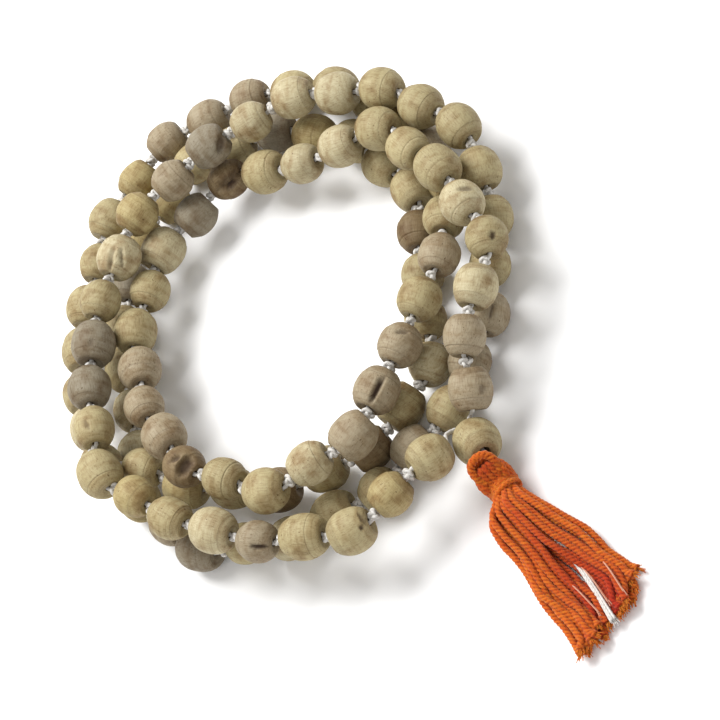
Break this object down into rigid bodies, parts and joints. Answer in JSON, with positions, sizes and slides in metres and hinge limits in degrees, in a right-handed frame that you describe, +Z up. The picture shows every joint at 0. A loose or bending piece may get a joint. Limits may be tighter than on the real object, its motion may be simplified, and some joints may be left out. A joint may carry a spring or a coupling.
{
  "type": "mala prayer beads",
  "caption": "Knotted mala of turned wooden beads on white cotton cord, wound in a low coil, with a guru bead and an orange yarn tassel.",
  "frame": {"origin": "on the table, under the middle of the box round the whole mala", "axes": "+Z up from the table, +Y away from the tassel across the coil, +X to the right as seen from the tassel's side"},
  "size_m": [0.1226, 0.188, 0.0252],
  "materials": {
    "bead_wood": "turned, unvarnished, matte",
    "cotton_cord": "twisted white cotton",
    "tassel_yarn": "two-ply orange yarn"
  },
  "bodies": {
    "strand": {"strand_run_01": "bead_wood", "strand_run_02": "bead_wood", "strand_run_03": "bead_wood", "strand_run_04": "bead_wood", "strand_run_05": "bead_wood", "strand_run_06": "bead_wood", "strand_run_07": "bead_wood", "strand_run_08": "bead_wood", "strand_run_09": "bead_wood", "strand_run_10": "bead_wood", "strand_run_11": "bead_wood", "strand_run_12": "bead_wood", "strand_run_13": "bead_wood", "stringing_cord": "cotton_cord"},
    "tassel_tie": {"tassel_cord": "cotton_cord"},
    "tassel": {"tassel_head": "tassel_yarn", "tassel_binding": "tassel_yarn", "tassel_skirt": "tassel_yarn", "cord_tails": "cotton_cord"},
    "guru_bead": {"guru_bead": "bead_wood"},
    "bead_001": {"bead_001": "bead_wood"},
    "bead_002": {"bead_002": "bead_wood"},
    "bead_003": {"bead_003": "bead_wood"},
    "bead_004": {"bead_004": "bead_wood"},
    "bead_005": {"bead_005": "bead_wood"},
    "bead_006": {"bead_006": "bead_wood"},
    "bead_007": {"bead_007": "bead_wood"},
    "bead_008": {"bead_008": "bead_wood"},
    "bead_009": {"bead_009": "bead_wood"},
    "bead_010": {"bead_010": "bead_wood"},
    "bead_011": {"bead_011": "bead_wood"},
    "bead_012": {"bead_012": "bead_wood"},
    "bead_013": {"bead_013": "bead_wood"},
    "bead_014": {"bead_014": "bead_wood"},
    "bead_015": {"bead_015": "bead_wood"},
    "bead_094": {"bead_094": "bead_wood"},
    "bead_095": {"bead_095": "bead_wood"},
    "bead_096": {"bead_096": "bead_wood"},
    "bead_097": {"bead_097": "bead_wood"},
    "bead_098": {"bead_098": "bead_wood"},
    "bead_099": {"bead_099": "bead_wood"},
    "bead_100": {"bead_100": "bead_wood"},
    "bead_101": {"bead_101": "bead_wood"},
    "bead_102": {"bead_102": "bead_wood"},
    "bead_103": {"bead_103": "bead_wood"},
    "bead_104": {"bead_104": "bead_wood"},
    "bead_105": {"bead_105": "bead_wood"},
    "bead_106": {"bead_106": "bead_wood"},
    "bead_107": {"bead_107": "bead_wood"},
    "bead_108": {"bead_108": "bead_wood"}
  },
  "joints": [
    {"name": "tassel_swing", "type": "hinge", "parent": "strand", "child": "tassel_tie", "pos_m": [0.00346, -0.04367, 0.00866], "axis": [0, 0, 1], "range_deg": [-10, 10]},
    {"name": "tassel_lift", "type": "hinge", "parent": "tassel_tie", "child": "tassel", "pos_m": [0.00325, -0.04495, 0.0108], "axis": [-0.9872, 0.1595, 0], "range_deg": [0, 70]},
    {"name": "guru_spin", "type": "hinge", "parent": "strand", "child": "guru_bead", "pos_m": [0.00418, -0.0392, 0.00731], "axis": [-0.1528, -0.9456, 0.2873], "continuous": true},
    {"name": "bead_001_spin", "type": "hinge", "parent": "strand", "child": "bead_001", "pos_m": [0.01213, -0.03206, 0.01186], "axis": [0.6865, 0.6103, 0.3953], "continuous": true},
    {"name": "bead_002_spin", "type": "hinge", "parent": "strand", "child": "bead_002", "pos_m": [0.02013, -0.02502, 0.01649], "axis": [0.7869, 0.5774, 0.218], "continuous": true},
    {"name": "bead_003_spin", "type": "hinge", "parent": "strand", "child": "bead_003", "pos_m": [0.03005, -0.01892, 0.01682], "axis": [0.8536, 0.5199, 0.0318], "continuous": true},
    {"name": "bead_004_spin", "type": "hinge", "parent": "strand", "child": "bead_004", "pos_m": [0.04002, -0.01291, 0.01723], "axis": [0.5938, 0.8034, 0.0442], "continuous": true},
    {"name": "bead_005_spin", "type": "hinge", "parent": "strand", "child": "bead_005", "pos_m": [0.04281, -0.00165, 0.01777], "axis": [0.2425, 0.9689, 0.0499], "continuous": true},
    {"name": "bead_006_spin", "type": "hinge", "parent": "strand", "child": "bead_006", "pos_m": [0.04565, 0.00958, 0.01839], "axis": [0.1053, 0.9939, -0.0316], "continuous": true},
    {"name": "bead_007_spin", "type": "hinge", "parent": "strand", "child": "bead_007", "pos_m": [0.04521, 0.02107, 0.01705], "axis": [-0.0361, 0.9926, -0.1161], "continuous": true},
    {"name": "bead_008_spin", "type": "hinge", "parent": "strand", "child": "bead_008", "pos_m": [0.04481, 0.03255, 0.01571], "axis": [-0.4256, 0.891, -0.1585], "continuous": true},
    {"name": "bead_009_spin", "type": "hinge", "parent": "strand", "child": "bead_009", "pos_m": [0.0363, 0.03973, 0.01373], "axis": [-0.7497, 0.6373, -0.1784], "continuous": true},
    {"name": "bead_010_spin", "type": "hinge", "parent": "strand", "child": "bead_010", "pos_m": [0.02785, 0.04697, 0.01167], "axis": [-0.6779, 0.7135, -0.1771], "continuous": true},
    {"name": "bead_011_spin", "type": "hinge", "parent": "strand", "child": "bead_011", "pos_m": [0.02103, 0.0558, 0.00974], "axis": [-0.6018, 0.7818, -0.1635], "continuous": true},
    {"name": "bead_012_spin", "type": "hinge", "parent": "strand", "child": "bead_012", "pos_m": [0.01422, 0.06468, 0.00797], "axis": [-0.8914, 0.4478, -0.0695], "continuous": true},
    {"name": "bead_013_spin", "type": "hinge", "parent": "strand", "child": "bead_013", "pos_m": [0.00282, 0.06495, 0.00832], "axis": [-0.9988, 0.0256, 0.0418], "continuous": true},
    {"name": "bead_014_spin", "type": "hinge", "parent": "strand", "child": "bead_014", "pos_m": [-0.00857, 0.06526, 0.00892], "axis": [-0.9552, -0.2801, 0.095], "continuous": true},
    {"name": "bead_015_spin", "type": "hinge", "parent": "strand", "child": "bead_015", "pos_m": [-0.01784, 0.05889, 0.01037], "axis": [-0.823, -0.5517, 0.135], "continuous": true},
    {"name": "bead_094_spin", "type": "hinge", "parent": "strand", "child": "bead_094", "pos_m": [-0.00589, 0.07151, 0.01722], "axis": [-0.9909, -0.134, 0.0163], "continuous": true},
    {"name": "bead_095_spin", "type": "hinge", "parent": "strand", "child": "bead_095", "pos_m": [-0.0165, 0.06668, 0.0176], "axis": [-0.9077, -0.4174, 0.0428], "continuous": true},
    {"name": "bead_096_spin", "type": "hinge", "parent": "strand", "child": "bead_096", "pos_m": [-0.02706, 0.06177, 0.01822], "axis": [-0.8278, -0.5568, 0.0683], "continuous": true},
    {"name": "bead_097_spin", "type": "hinge", "parent": "strand", "child": "bead_097", "pos_m": [-0.03552, 0.05389, 0.01917], "axis": [-0.7115, -0.6991, 0.0712], "continuous": true},
    {"name": "bead_098_spin", "type": "hinge", "parent": "strand", "child": "bead_098", "pos_m": [-0.04354, 0.04558, 0.01987], "axis": [-0.6086, -0.7899, 0.075], "continuous": true},
    {"name": "bead_099_spin", "type": "hinge", "parent": "strand", "child": "bead_099", "pos_m": [-0.04949, 0.03576, 0.02089], "axis": [-0.5523, -0.8337, 0.0001], "continuous": true},
    {"name": "bead_100_spin", "type": "hinge", "parent": "strand", "child": "bead_100", "pos_m": [-0.05623, 0.02642, 0.01987], "axis": [-0.2371, -0.9681, -0.0815], "continuous": true},
    {"name": "bead_101_spin", "type": "hinge", "parent": "strand", "child": "bead_101", "pos_m": [-0.05457, 0.01502, 0.01915], "axis": [0.1499, -0.9872, -0.0549], "continuous": true},
    {"name": "bead_102_spin", "type": "hinge", "parent": "strand", "child": "bead_102", "pos_m": [-0.05277, 0.00362, 0.0186], "axis": [0.2777, -0.9569, -0.0855], "continuous": true},
    {"name": "bead_103_spin", "type": "hinge", "parent": "strand", "child": "bead_103", "pos_m": [-0.0482, -0.00691, 0.01719], "axis": [0.4008, -0.9091, -0.1134], "continuous": true},
    {"name": "bead_104_spin", "type": "hinge", "parent": "strand", "child": "bead_104", "pos_m": [-0.0435, -0.0174, 0.01598], "axis": [0.5438, -0.836, -0.0741], "continuous": true},
    {"name": "bead_105_spin", "type": "hinge", "parent": "strand", "child": "bead_105", "pos_m": [-0.03579, -0.02599, 0.0155], "axis": [0.6693, -0.7422, -0.0332], "continuous": true},
    {"name": "bead_106_spin", "type": "hinge", "parent": "strand", "child": "bead_106", "pos_m": [-0.02804, -0.03454, 0.01521], "axis": [0.89, -0.4543, -0.04], "continuous": true},
    {"name": "bead_107_spin", "type": "hinge", "parent": "strand", "child": "bead_107", "pos_m": [-0.0165, -0.03583, 0.01463], "axis": [0.9925, -0.1138, -0.0449], "continuous": true},
    {"name": "bead_108_spin", "type": "hinge", "parent": "strand", "child": "bead_108", "pos_m": [-0.00496, -0.03719, 0.01417], "axis": [0.9317, -0.1519, -0.3299], "continuous": true}
  ]
}
